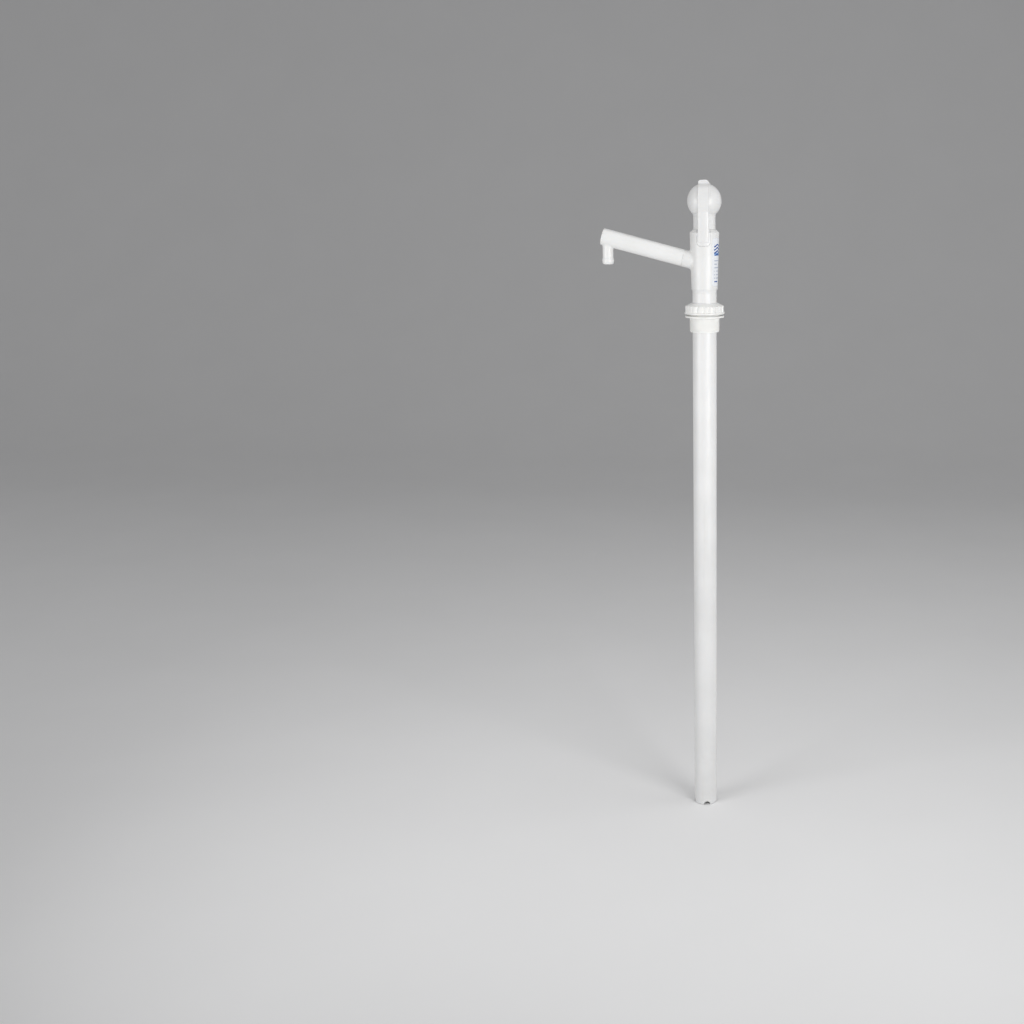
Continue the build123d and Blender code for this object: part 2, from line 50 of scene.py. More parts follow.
def box_mm(node):
    """Lowest and highest corner of a CAD node, in millimetres."""
    low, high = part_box(node)
    return low / MM, high / MM


tube_low, tube_high = box_mm("suction_tube")
head_low, head_high = box_mm("pump_head")
knob_low, knob_high = box_mm("pull_knob")
adapter_low, adapter_high = box_mm("bung_adapter")
nut_low, nut_high = box_mm("clamp_nut")
nozzle_low, nozzle_high = box_mm("spout_nozzle")

TUBE_R, TUBE_BORE_R, INLET_R, INLET_TOP_Z = tube_high.x, 20.45, 20.7, -1042.0
RING_MARK_Z, RING_MARK_DEPTH, RING_MARK_W = 49.5, 0.3, 1.2
FOOT_Z, TUBE_TOP_Z = tube_low.z, tube_high.z
FOOT_NOTCH_R, FOOT_NOTCH_TURN = 7.0, radians(11.0)
HEAD_Z, RIM_Z = head_low.z, head_high.z
HEAD_FOOT_R, HEAD_TOP_R, RIM_CHAMFER, RIM_TOP_R = 26.1, 29.2, 6.0, 23.5
CHAMBER_R, SHELF_Z, SHELF_TOP_Z, BUSH_SEAT_R = 21.5, 128.0, 138.0, 16.05
SLEEVE_R = 22.35
NOTCH_W, NOTCH_CORNER_R, NOTCH_Z = 26.6, 8.0, 140.4
SPOUT_SLOPE, SPOUT_START_Z = radians(14.6), 105.6
SPOUT_R, SPOUT_BORE_R = 16.7, 13.3
BOSS_END, SPOUT_END, CAP_T = 44.0, 208.3, 2.8
SPIGOT_R, SPIGOT_L = 14.8, 12.0
NOZZLE_X = (nozzle_low.x + nozzle_high.x) / 2
NOZZLE_R, NOZZLE_BORE_R = 10.67, 7.9
GLUE_TUCK, GLUE_REACH, GLUE_DEPTH = 0.05, 2.4, 1.2
LIP_R, LIP_ROUND, LIP_TOP_Z = 9.0, 8.0, 110.3
BEAD_R, BEAD_TOP_Z, BEAD_SLOPE_TOP_Z = 11.7, 112.5, 115.5
BALL_R, NECK_R, KNOB_WALL, BALL_Z = 33.8, 22.0, 3.5, 226.6
BAND_R, BAND_W = 34.7, 21.0
TONGUE_R, TONGUE_W, TONGUE_TOP_R = 28.9, 26.5, 23.3
STRAP_R, STRAP_Z = 29.6, 148.0
NUB_L = 20.0
NUB_OUTLINE = (
    (-11.3, 248.0),
    (12.3, 248.0),
    (10.8, 259.5),
    (6.8, 266.0),
    (3.3, 267.2),
    (-8.8, 266.4),
    (-11.3, 264.2),
)
FLANGE_R, FLANGE_T = adapter_high.x, 3.5
THREAD_R, THREAD_DEPTH, THREAD_PITCH = 30.15, 1.25, 25.4 / 11.5
CROWN_R, CROWN_Z, CROWN_DEPTH, CROWN_PITCH = 31.2, adapter_high.z, 1.0, 3.0
CONE_FOOT_R, CONE_TOP_R, CONE_FOOT_Z = 25.2, 28.6, 8.0
NUT_R, NUT_CAVITY_R, NUT_MOUTH_R = 38.5, 31.6, 24.6
NUT_DISC_T, NUT_WALL_TOP_Z, NUT_TOP_R, NUT_CEILING_Z = 3.5, 22.5, 26.6, 24.1
RIBS, RIB_GROOVE_R, RIB_GROOVE_OUT = 20, 2.6, 0.6
LABEL_Z, LABEL_TOP_Z, LABEL_START, LABEL_SWEEP = 62.0, 156.0, radians(-52.0), radians(90.0)
LABEL_BACK, LABEL_FRONT = 0.02, 0.18


def head_radius(z):
    """Outer radius of the tapered head at a height."""
    taper_top = RIM_Z - RIM_CHAMFER
    return HEAD_FOOT_R + (HEAD_TOP_R - HEAD_FOOT_R) * (z - HEAD_Z) / (taper_top - HEAD_Z)


# ---------------------------------------------------------------- distance functions
# Each returns, for arrays of points, how far they are outside a shape, negative inside.


def smooth_union(a, b, blend):
    """Join two shapes with a fillet about blend in size."""
    share = np.clip(0.5 + 0.5 * (b - a) / blend, 0, 1)
    return b + (a - b) * share - blend * share * (1 - share)


def smooth_cut(a, b, blend):
    """Keep the part of a that is outside b, with a rounded edge."""
    return -smooth_union(-a, b, blend)


def inset(outline, amount):
    """An anticlockwise outline moved inwards, so that growing it back rounds its outer corners."""
    points = [np.array(p, float) for p in outline]
    moved = []
    for before, here, after in zip(points[-1:] + points[:-1], points, points[1:] + points[:1]):
        first = (here - before) / np.linalg.norm(here - before)
        second = (after - here) / np.linalg.norm(after - here)
        normals = np.array([[-first[1], first[0]], [-second[1], second[0]]])
        offsets = normals @ here + amount
        moved.append(np.linalg.solve(normals, offsets))
    return moved


def crossed(first, second):
    """The part that two crossing shapes share, measured round its edge."""
    return np.hypot(np.maximum(first, 0), np.maximum(second, 0)) + np.minimum(np.maximum(first, second), 0)


def polygon_distance(x, y, outline):
    """Signed distance to a closed outline in a plane."""
    nearest = np.full(x.shape, np.inf)
    inside = np.zeros(x.shape, bool)
    for (ax, ay), (bx, by) in zip(outline, outline[1:] + outline[:1]):
        ex, ey = bx - ax, by - ay
        along = np.clip(((x - ax) * ex + (y - ay) * ey) / (ex * ex + ey * ey), 0, 1)
        nearest = np.minimum(nearest, (x - ax - along * ex) ** 2 + (y - ay - along * ey) ** 2)
        crosses = (ay > y) != (by > y)
        with np.errstate(divide="ignore", invalid="ignore"):
            left = x < ax + ex * (y - ay) / ey if ey else np.zeros(x.shape, bool)
        inside ^= crosses & left
    return np.where(inside, -1.0, 1.0) * np.sqrt(nearest)


def turned(x, y, z, outline, rounding=0.4):
    """A solid of revolution about Z whose outline is (radius, height) points, anticlockwise."""
    return polygon_distance(np.hypot(x, y), z, inset(outline, rounding)) - rounding


def cylinder(x, y, z, radius, low, high, rounding=0.4):
    """An upright cylinder with rounded rims."""
    across = np.hypot(x, y) - radius + rounding
    along = np.abs(z - (low + high) / 2) - (high - low) / 2 + rounding
    return crossed(across, along) - rounding


def notch_outline(x, z, width, corner_r, low):
    """An upright slot that is open at the top, with rounded lower corners."""
    past_side = np.maximum(np.abs(x) - width / 2 + corner_r, 0)
    past_floor = np.maximum(low + corner_r - z, 0)
    return np.hypot(past_side, past_floor) - corner_r


def sphere(x, y, z, height, radius):
    """A ball whose centre is on the Z axis."""
    return np.sqrt(x * x + y * y + (z - height) ** 2) - radius


def along_spout(x, y, z):
    """Coordinates with the spout's axis as the third one, which starts on the Z axis."""
    lift = z - SPOUT_START_Z
    across = x * sin(SPOUT_SLOPE) + lift * cos(SPOUT_SLOPE)
    distance = -x * cos(SPOUT_SLOPE) + lift * sin(SPOUT_SLOPE)
    return y, across, distance


# ---------------------------------------------------------------- meshes


def gradient(distance, points):
    """Unit direction in which the distance grows, at each point."""
    reach = 0.02
    slopes = []
    for axis in range(3):
        ahead, behind = points.copy(), points.copy()
        ahead[:, axis] += reach
        behind[:, axis] -= reach
        slopes.append((distance(*ahead.T) - distance(*behind.T)) / (2 * reach))
    slopes = np.stack(slopes, 1)
    return slopes / np.maximum(np.linalg.norm(slopes, axis=1, keepdims=True), 1e-9)


def skin(distance, low, high, step):
    """Vertices and quads of the surface where distance is zero, from a grid's cells drawn onto it."""
    axes = [np.arange(a - 2 * step, b + 3 * step, step) for a, b in zip(low, high)]
    inside = distance(*np.meshgrid(*axes, indexing="ij")) < 0
    cells = [len(a) - 1 for a in axes]
    count = sum(
        inside[i:i + cells[0], j:j + cells[1], k:k + cells[2]].astype(np.int8)
        for i in (0, 1) for j in (0, 1) for k in (0, 1)
    )
    mixed = (count > 0) & (count < 8)
    number = np.full(mixed.shape, -1)
    number[mixed] = np.arange(mixed.sum())
    where = np.argwhere(mixed)
    start = np.stack([axes[a][where[:, a]] + step / 2 for a in range(3)], 1)
    points = start.copy()
    rounds, leash = 5, 0.75 * step
    for _ in range(rounds):
        points -= distance(*points.T)[:, None] * gradient(distance, points)
        points = np.clip(points, start - leash, start + leash)
    quads = []
    for axis in range(3):
        first, second = (axis + 1) % 3, (axis + 2) % 3
        near = np.take(inside, np.arange(cells[axis]), axis)
        far = np.take(inside, np.arange(1, cells[axis] + 1), axis)
        edges = np.argwhere(near != far)
        edges = edges[(edges[:, first] > 0) & (edges[:, second] > 0)]
        edges = edges[(edges[:, first] < cells[first]) & (edges[:, second] < cells[second])]
        ring = []
        for back_first, back_second in ((1, 1), (0, 1), (0, 0), (1, 0)):
            cell = edges.copy()
            cell[:, first] -= back_first
            cell[:, second] -= back_second
            ring.append(number[tuple(cell.T)])
        ring = np.stack(ring, 1)
        leaving = near[tuple(edges.T)]
        ring[~leaving] = ring[~leaving][:, ::-1]
        quads.append(ring)
    return points, np.concatenate(quads)


def add_mesh(name, points, faces, body, slot, material, *nodes):
    """Make a piece from points in millimetres, shade it smooth and let it stand for CAD nodes."""
    mesh = bpy.data.meshes.new(name)
    mesh.from_pydata((np.asarray(points) * MM).tolist(), [], np.asarray(faces).tolist())
    mesh.polygons.foreach_set("use_smooth", [True] * len(mesh.polygons))
    mesh.update()
    piece = bpy.data.objects.new(name, mesh)
    bpy.context.scene.collection.objects.link(piece)
    mesh.materials.append(material)
    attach(piece, body)
    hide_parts(*nodes)
    return piece


def add_skin(name, distance, low, high, step, body, slot, material, *nodes):
    """Make a piece from a distance function, with exact normals."""
    points, quads = skin(distance, low, high, step)
    piece = add_mesh(name, points, quads, body, slot, material, *nodes)
    piece.data.normals_split_custom_set_from_vertices(gradient(distance, points).tolist())
    return piece


def arc_corners(outline, steps=5):
    """Points of an outline given as (radius, height, rounding), with an arc at each rounded corner."""
    path = []
    for before, here, after in zip(outline[-1:] + outline[:-1], outline, outline[1:] + outline[:1]):
        corner = np.array(here[:2], float)
        rounding = here[2]
        if not rounding:
            path.append(tuple(corner))
            continue
        to_before = np.array(before[:2], float) - corner
        to_after = np.array(after[:2], float) - corner
        to_before /= np.linalg.norm(to_before)
        to_after /= np.linalg.norm(to_after)
        half_turn = np.arccos(np.clip(to_before @ to_after, -1, 1)) / 2
        inwards = (to_before + to_after) / np.linalg.norm(to_before + to_after)
        centre = corner + inwards * rounding / np.sin(half_turn)
        first = corner + to_before * rounding / np.tan(half_turn) - centre
        last = corner + to_after * rounding / np.tan(half_turn) - centre
        for i in range(steps + 1):
            mix = first * (1 - i / steps) + last * (i / steps)
            path.append(tuple(centre + mix / np.linalg.norm(mix) * rounding))
    return path


def lathe(path, segments, radius_at=None, height_at=None):
    """Rings of a closed (radius, height) path turned about Z. The two functions may shape each ring."""
    angles = np.arange(segments) * tau / segments
    points = []
    for radius, height in path:
        radii = radius_at(radius, height, angles) if radius_at else np.full(segments, radius)
        heights = height_at(radius, height, angles) if height_at else np.full(segments, height)
        points.append(np.stack([radii * np.cos(angles), radii * np.sin(angles), heights], 1))
    rings = len(path)
    faces = []
    for i in range(rings):
        for j in range(segments):
            a, b = i * segments, (i + 1) % rings * segments
            k = (j + 1) % segments
            faces.append((a + j, a + k, b + k, b + j))
    return np.concatenate(points), faces


# ---------------------------------------------------------------- materials


class Nodes:
    """Short calls for building one material's node tree."""

    def __init__(self, name):
        self.material = bpy.data.materials.new(name)
        self.material.use_nodes = True
        self.tree = self.material.node_tree
        self.shader = self.tree.nodes["Principled BSDF"]
        self.position = self.add("ShaderNodeTexCoord").outputs["Object"]

    def add(self, kind, **settings):
        node = self.tree.nodes.new(kind)
        for key, value in settings.items():
            setattr(node, key, value)
        return node

    def link(self, source, target):
        self.tree.links.new(source, target)

    def scaled(self, scale):
        """The object's position, stretched by a scale for each axis."""
        node = self.add("ShaderNodeMapping")
        node.inputs["Scale"].default_value = scale
        self.link(self.position, node.inputs["Vector"])
        return node.outputs["Vector"]

    def noise(self, scale, detail=4.0, roughness=0.5, stretch=(1, 1, 1), distortion=0.0):
        node = self.add("ShaderNodeTexNoise")
        node.inputs["Scale"].default_value = scale
        node.inputs["Detail"].default_value = detail
        node.inputs["Roughness"].default_value = roughness
        node.inputs["Distortion"].default_value = distortion
        self.link(self.scaled(stretch), node.inputs["Vector"])
        return node.outputs["Fac"]

    def ramp(self, value, low, high, to_low=0.0, to_high=1.0):
        """Map a value from one range to another, clamped."""
        node = self.add("ShaderNodeMapRange")
        for key, number in (("From Min", low), ("From Max", high), ("To Min", to_low), ("To Max", to_high)):
            node.inputs[key].default_value = number
        self.link(value, node.inputs["Value"])
        return node.outputs["Result"]

    def math(self, operation, first, second=0.0):
        node = self.add("ShaderNodeMath", operation=operation)
        for socket, value in zip(node.inputs, (first, second)):
            if isinstance(value, (int, float)):
                socket.default_value = value
            else:
                self.link(value, socket)
        return node.outputs["Value"]

    def mix(self, share, first, second):
        """A colour between two, each a colour or a socket."""
        node = self.add("ShaderNodeMix", data_type="RGBA")
        if isinstance(share, (int, float)):
            node.inputs["Factor"].default_value = share
        else:
            self.link(share, node.inputs["Factor"])
        for key, value in (("A", first), ("B", second)):
            socket = [s for s in node.inputs if s.name == key and s.type == "RGBA"][0]
            if isinstance(value, tuple):
                socket.default_value = (*value, 1.0)
            else:
                self.link(value, socket)
        return [s for s in node.outputs if s.type == "RGBA"][0]

    def bump(self, height, strength, distance):
        node = self.add("ShaderNodeBump")
        node.inputs["Strength"].default_value = strength
        node.inputs["Distance"].default_value = distance
        self.link(height, node.inputs["Height"])
        self.link(node.outputs["Normal"], self.shader.inputs["Normal"])

    def edges(self, low=0.52, high=0.60):
        """How much a spot is an outer edge, from the mesh's own curvature."""
        return self.ramp(self.add("ShaderNodeNewGeometry").outputs["Pointiness"], low, high)


def white_plastic(name, colour, shade, roughness, grain=(1, 1, 1), stain=0.25, orange_peel=0.25):
    """White PVC: faint clouds, fine scuffs, thin grime streaks, a painted highlight that lightens outer
    edges, and a soft moulded or drawn surface.
    """
    n = Nodes(name)
    clouds = n.ramp(n.noise(14.0, 3.0), 0.35, 0.7)
    toned = n.mix(clouds, colour, shade)
    streaks = n.ramp(n.noise(90.0, 5.0, 0.6, grain), 0.56, 0.78, 0.0, stain)
    stained = n.mix(streaks, toned, tuple(c * k for c, k in zip(shade, (0.86, 0.85, 0.80))))
    specks = n.ramp(n.noise(900.0, 2.0), 0.70, 0.76, 0.0, 0.35)
    speckled = n.mix(specks, stained, tuple(c * 0.62 for c in shade))
    # painted highlight: outer edges are made a little lighter
    edge_highlight = n.mix(n.math("MULTIPLY", n.edges(), 0.35), speckled, tuple(min(1.0, c * 1.04) for c in colour))
    n.link(edge_highlight, n.shader.inputs["Base Color"])
    scuffs = n.ramp(n.noise(260.0, 6.0, 0.7, grain), 0.45, 0.75, roughness - 0.06, roughness + 0.16)
    n.link(scuffs, n.shader.inputs["Roughness"])
    n.shader.inputs["IOR"].default_value = 1.53
    n.shader.inputs["Subsurface Weight"].default_value = 0.12
    n.shader.inputs["Subsurface Radius"].default_value = (0.004, 0.0035, 0.003)
    n.shader.inputs["Subsurface Scale"].default_value = 1.0
    peel = n.noise(420.0, 3.0, 0.5, grain)
    fine = n.math("MULTIPLY", n.noise(2200.0, 2.0), 0.35)
    n.bump(n.math("ADD", peel, fine), orange_peel, 0.0002)
    return n.material


def label_film():
    """Gloss film with generic marks: a blue panel with a wave, and grey bars in place of print."""
    n = Nodes("label_film")
    split = n.add("ShaderNodeSeparateXYZ")
    n.link(n.add("ShaderNodeTexCoord").outputs["UV"], split.inputs["Vector"])
    u, v = split.outputs["X"], split.outputs["Y"]

    def between(value, low, high):
        return n.math("MULTIPLY", n.math("GREATER_THAN", value, low), n.math("LESS_THAN", value, high))

    def patch(u_low, u_high, v_low, v_high):
        return n.math("MULTIPLY", between(u, u_low, u_high), between(v, v_low, v_high))

    film, blue = (0.80, 0.82, 0.85), (0.04, 0.10, 0.33)
    pale_blue, grey = (0.24, 0.41, 0.70), (0.50, 0.54, 0.62)
    panel_left, panel_right, panel_foot, pale_top, panel_top = 0.10, 0.90, 0.635, 0.70, 0.875
    swell_pitch, swell, band_pitch, band_share = 14.0, 0.022, 95.0, 0.1
    colour = n.mix(patch(panel_left, panel_right, panel_foot, panel_top), film, blue)
    wave = n.math("ADD", v, n.math("MULTIPLY", n.math("SINE", n.math("MULTIPLY", u, swell_pitch)), swell))
    crest = n.math("GREATER_THAN", n.math("SINE", n.math("MULTIPLY", wave, band_pitch)), band_share)
    for top, tone in ((panel_top, film), (pale_top, pale_blue)):
        bands = n.math("MULTIPLY", crest, patch(panel_left, panel_right, panel_foot, top))
        colour = n.mix(bands, colour, tone)
    # rows of broken bars where the print would be, the last one blue
    first_top, row_pitch, bar_height, bar_left, gaps = 0.545, 0.072, 0.026, 0.12, 0.42
    bar_ends = [(0.86, grey), (0.78, grey), (0.83, grey), (0.70, grey), (0.86, grey), (0.62, grey)]
    bar_ends.append((0.46, blue))
    for row, (bar_right, tone) in enumerate(bar_ends):
        top = first_top - row * row_pitch
        words = n.math("GREATER_THAN", n.noise(0.62 + 0.11 * row, 1.0, 0.5, (180, 180, 2)), gaps)
        bar = n.math("MULTIPLY", patch(bar_left, bar_right, top - bar_height, top), words)
        colour = n.mix(bar, colour, tone)
    rubbed = n.ramp(n.noise(160.0, 5.0, 0.65), 0.58, 0.72, 0.0, 0.35)
    n.link(n.mix(rubbed, colour, film), n.shader.inputs["Base Color"])
    n.link(n.ramp(n.noise(120.0), 0.4, 0.7, 0.16, 0.34), n.shader.inputs["Roughness"])
    n.bump(n.noise(70.0, 2.0), 0.25, 0.0004)
    return n.material


def rubber():
    n = Nodes("seal_rubber")
    n.link(n.mix(n.ramp(n.noise(300.0), 0.4, 0.7), (0.016, 0.016, 0.017), (0.035, 0.034, 0.033)),
           n.shader.inputs["Base Color"])
    n.link(n.ramp(n.noise(500.0), 0.3, 0.7, 0.5, 0.72), n.shader.inputs["Roughness"])
    n.bump(n.noise(1500.0, 3.0), 0.3, 0.0002)
    return n.material


def steel():
    n = Nodes("pin_steel")
    n.shader.inputs["Metallic"].default_value = 1.0
    n.link(n.mix(n.noise(300.0), (0.50, 0.50, 0.51), (0.66, 0.66, 0.67)), n.shader.inputs["Base Color"])
    n.link(n.ramp(n.noise(800.0, 3.0, 0.5, (1, 8, 8)), 0.3, 0.7, 0.22, 0.42), n.shader.inputs["Roughness"])
    n.bump(n.noise(900.0, 3.0, 0.5, (1, 10, 10)), 0.2, 0.0001)
    return n.material


VERTICAL_GRAIN = (1, 1, 0.04)
knob_white = white_plastic("knob_white", (0.80, 0.80, 0.795), (0.755, 0.755, 0.75), 0.34)
head_white = white_plastic("head_white", (0.80, 0.80, 0.79), (0.75, 0.75, 0.74), 0.40)
spout_white = white_plastic("spout_white", (0.84, 0.84, 0.835), (0.80, 0.80, 0.785), 0.36, stain=0.12)
pipe_white = white_plastic("pipe_white", (0.81, 0.81, 0.805), (0.765, 0.765, 0.76), 0.40, VERTICAL_GRAIN)
nut_white = white_plastic("nut_white", (0.86, 0.86, 0.845), (0.81, 0.81, 0.79), 0.38, stain=0.35)
# the adapter's white is lighter than the others: painted light that makes up for the shade in its crowded
# thread grooves
adapter_white = white_plastic("adapter_white", (0.90, 0.90, 0.88), (0.86, 0.86, 0.84), 0.40, stain=0.3)
inner_white = white_plastic("inner_white", (0.66, 0.66, 0.62), (0.58, 0.58, 0.54), 0.45)
label_print, seal_black, pin_metal = label_film(), rubber(), steel()

# ---------------------------------------------------------------- pieces


def knob_shape(x, y, z):
    """Hollow ball and neck with the key band, the tongues and the nub."""
    edge, seam, nub_edge, nub_root, neck_root = 0.6, 0.9, 1.2, 1.5, 1.6
    ball = sphere(x, y, z, BALL_Z, BALL_R)
    neck = cylinder(x, y, z, NECK_R, knob_low.z, BALL_Z, edge)
    body = smooth_union(ball, neck, neck_root)
    beside_band = np.abs(x) - BAND_W / 2
    band = np.maximum(np.hypot(y, z - BALL_Z) - BAND_R, beside_band)
    strap = np.maximum(beside_band, cylinder(x, y, z, STRAP_R, STRAP_Z, BALL_Z, 0.5))
    tongue_outline = notch_outline(x, z, TONGUE_W, NOTCH_CORNER_R, knob_low.z)
    tongue_disc = turned(x, y, z, [
        (-5, knob_low.z - 5), (TONGUE_R, knob_low.z - 5), (TONGUE_R, RIM_Z - RIM_CHAMFER),
        (TONGUE_TOP_R, RIM_Z), (-5, RIM_Z),
    ], 0.3)
    body = smooth_union(body, band, seam)
    body = smooth_union(body, strap, seam)
    body = smooth_union(body, np.maximum(tongue_outline, tongue_disc), edge)
    nub_side = polygon_distance(x, z, inset(NUB_OUTLINE, nub_edge))
    nub = crossed(nub_side, np.abs(y) - NUB_L / 2 + nub_edge) - nub_edge
    body = smooth_union(body, nub, nub_root)
    neck_hollow = np.maximum(np.hypot(x, y) - NECK_R + KNOB_WALL, z - BALL_Z)
    hollow = np.minimum(sphere(x, y, z, BALL_Z, BALL_R - KNOB_WALL), neck_hollow)
    return smooth_cut(body, hollow, edge)


def head_shape(x, y, z):
    """Tapered head with rim, boss, hollows and key notches."""
    edge, boss_root, hollow_edge, waterway_edge, notch_edge = 0.35, 5.0, 0.5, 0.4, 0.15
    socket_r = TUBE_R + 0.05
    outside = turned(x, y, z, [
        (-5, HEAD_Z), (HEAD_FOOT_R, HEAD_Z), (HEAD_TOP_R, RIM_Z - RIM_CHAMFER),
        (RIM_TOP_R, RIM_Z), (-5, RIM_Z),
    ], edge)
    sx, sy, sz = along_spout(x, y, z)
    boss = cylinder(sx, sy, sz, SPOUT_R, 0, BOSS_END, 0.2)
    body = smooth_union(outside, boss, boss_root)
    hollow = turned(x, y, z, [
        (-5, HEAD_Z - 5), (socket_r, HEAD_Z - 5), (socket_r, TUBE_TOP_Z), (CHAMBER_R, TUBE_TOP_Z),
        (CHAMBER_R, SHELF_Z), (BUSH_SEAT_R, SHELF_Z), (BUSH_SEAT_R, SHELF_TOP_Z), (SLEEVE_R, SHELF_TOP_Z),
        (SLEEVE_R, RIM_Z + 5), (-5, RIM_Z + 5),
    ], 0.05)
    waterway = np.maximum(np.hypot(sx, sy) - SPOUT_BORE_R, -sz)
    body = smooth_cut(body, notch_outline(x, z, NOTCH_W, NOTCH_CORNER_R, NOTCH_Z), notch_edge)
    return smooth_cut(smooth_cut(body, hollow, hollow_edge), waterway, waterway_edge)


def nut_shape(x, y, z):
    """Clamp nut: disc edge, grooved wall and cone."""
    shell = turned(x, y, z, [
        (NUT_MOUTH_R, nut_high.z), (NUT_MOUTH_R, NUT_CEILING_Z), (NUT_CAVITY_R, NUT_CEILING_Z),
        (NUT_CAVITY_R, nut_low.z), (nut_high.x, nut_low.z), (nut_high.x, nut_low.z + NUT_DISC_T),
        (NUT_R, nut_low.z + NUT_DISC_T), (NUT_R, NUT_WALL_TOP_Z), (NUT_TOP_R, nut_high.z),
    ], 0.45)
    step = tau / RIBS
    angle = np.arctan2(y, x)
    folded = angle - np.round(angle / step) * step
    radius = np.hypot(x, y)
    from_groove = np.hypot(radius * np.cos(folded) - NUT_R - RIB_GROOVE_OUT, radius * np.sin(folded))
    groove = np.maximum(from_groove - RIB_GROOVE_R, nut_low.z + NUT_DISC_T - z)
    return smooth_cut(shell, groove, 0.8)


def nozzle_shape(x, y, z):
    """Outlet pipe with the rolled bead round its mouth, and the glue fillet where it meets the spout."""
    nx = x - NOZZLE_X
    lip_low = nozzle_low.z
    turns = np.linspace(0, np.arccos((LIP_R - BEAD_R + LIP_ROUND) / LIP_ROUND), 6)
    lip = [(BEAD_R - LIP_ROUND * (1 - cos(t)), LIP_TOP_Z - LIP_ROUND * sin(t)) for t in turns]
    bead = turned(nx, y, z, [
        (-5, lip_low), (LIP_R, lip_low), *lip[-2::-1], (BEAD_R, BEAD_TOP_Z),
        (NOZZLE_R, BEAD_SLOPE_TOP_Z), (-5, BEAD_SLOPE_TOP_Z),
    ], 0.3)
    pipe = cylinder(nx, y, z, NOZZLE_R, BEAD_TOP_Z, nozzle_high.z, 0.3)
    sx, sy, sz = along_spout(x, y, z)
    spout = np.maximum(np.hypot(sx, sy) - SPOUT_R, sz - SPOUT_END - CAP_T)
    bead_root, glue_fillet = 2.0, 2.6
    outside = smooth_union(smooth_union(pipe, bead, bead_root), spout, glue_fillet) + GLUE_TUCK
    outside = np.maximum(outside, np.hypot(nx, y) - NOZZLE_R - GLUE_REACH)
    outside = np.maximum(outside, -spout - GLUE_DEPTH)
    outside = np.minimum(outside, pipe)
    return smooth_cut(outside, np.hypot(nx, y) - NOZZLE_BORE_R, 0.5)


add_skin("knob", knob_shape, knob_low, knob_high, 0.9, "plunger", "knob_plastic", knob_white, "pull_knob")
add_skin("head", head_shape, head_low, head_high, 0.9, "barrel", "head_plastic", head_white, "pump_head")
add_skin("nut", nut_shape, nut_low, nut_high, 0.7, "nut", "nut_plastic", nut_white, "clamp_nut")
nozzle_room = Vector((3, 3, 0))
add_skin("nozzle", nozzle_shape, nozzle_low - nozzle_room, nozzle_high + nozzle_room, 0.7, "barrel",
         "spout_plastic", spout_white, "spout_nozzle")


def suction_tube():
    """Long pipe with a ring mark under the head, whose foot has four arched notches."""
    lip, notch_rise, corner_steps, segments = 0.8, 14.0, 4, 256

    def foot_height(radius, height, angles):
        """The notches lift the foot's rings, less and less up to notch_rise."""
        from_notch = np.mod(angles - FOOT_NOTCH_TURN + pi / 4, pi / 2) - pi / 4
        arch = np.sqrt(np.maximum(FOOT_NOTCH_R**2 - (radius * np.sin(from_notch)) ** 2, 0))
        return height + arch * np.clip((FOOT_Z + notch_rise - height) / notch_rise, 0, 1)

    corners = arc_corners([
        (TUBE_R, FOOT_Z, lip), (TUBE_R, TUBE_TOP_Z, lip), (TUBE_BORE_R, TUBE_TOP_Z, lip),
        (TUBE_BORE_R, INLET_TOP_Z, 0), (INLET_R, INLET_TOP_Z, 0), (INLET_R, FOOT_Z, lip),
    ], corner_steps)
    foot_corner, other_corners = corners[:corner_steps + 1], corners[corner_steps + 1:]
    wall_rises = (2, 4, 6, 9, 12, notch_rise, 20)
    wall = [FOOT_Z + rise for rise in wall_rises] + list(np.linspace(FOOT_Z + 40, RING_MARK_Z - 5, 60))
    ring_mark = [
        (TUBE_R, RING_MARK_Z - RING_MARK_W / 2),
        (TUBE_R - RING_MARK_DEPTH, RING_MARK_Z),
        (TUBE_R, RING_MARK_Z + RING_MARK_W / 2),
    ]
    path = foot_corner + [(TUBE_R, z) for z in wall] + ring_mark + other_corners
    points, faces = lathe(path, segments, height_at=foot_height)
    add_mesh("tube", points, faces, "barrel", "pipe_plastic", pipe_white, "suction_tube")


suction_tube()


def thread_crest(height, pitch, angles):
    """How near the crest a thread is at each angle of a ring: 0 at the root, 1 at the crest, with flats."""
    turn = np.mod(height / pitch - angles / tau, 1.0)
    steepness, root_flat = 1.6, 0.3
    return np.clip(steepness * (1 - np.abs(2 * turn - 1)) - root_flat, 0, 1)


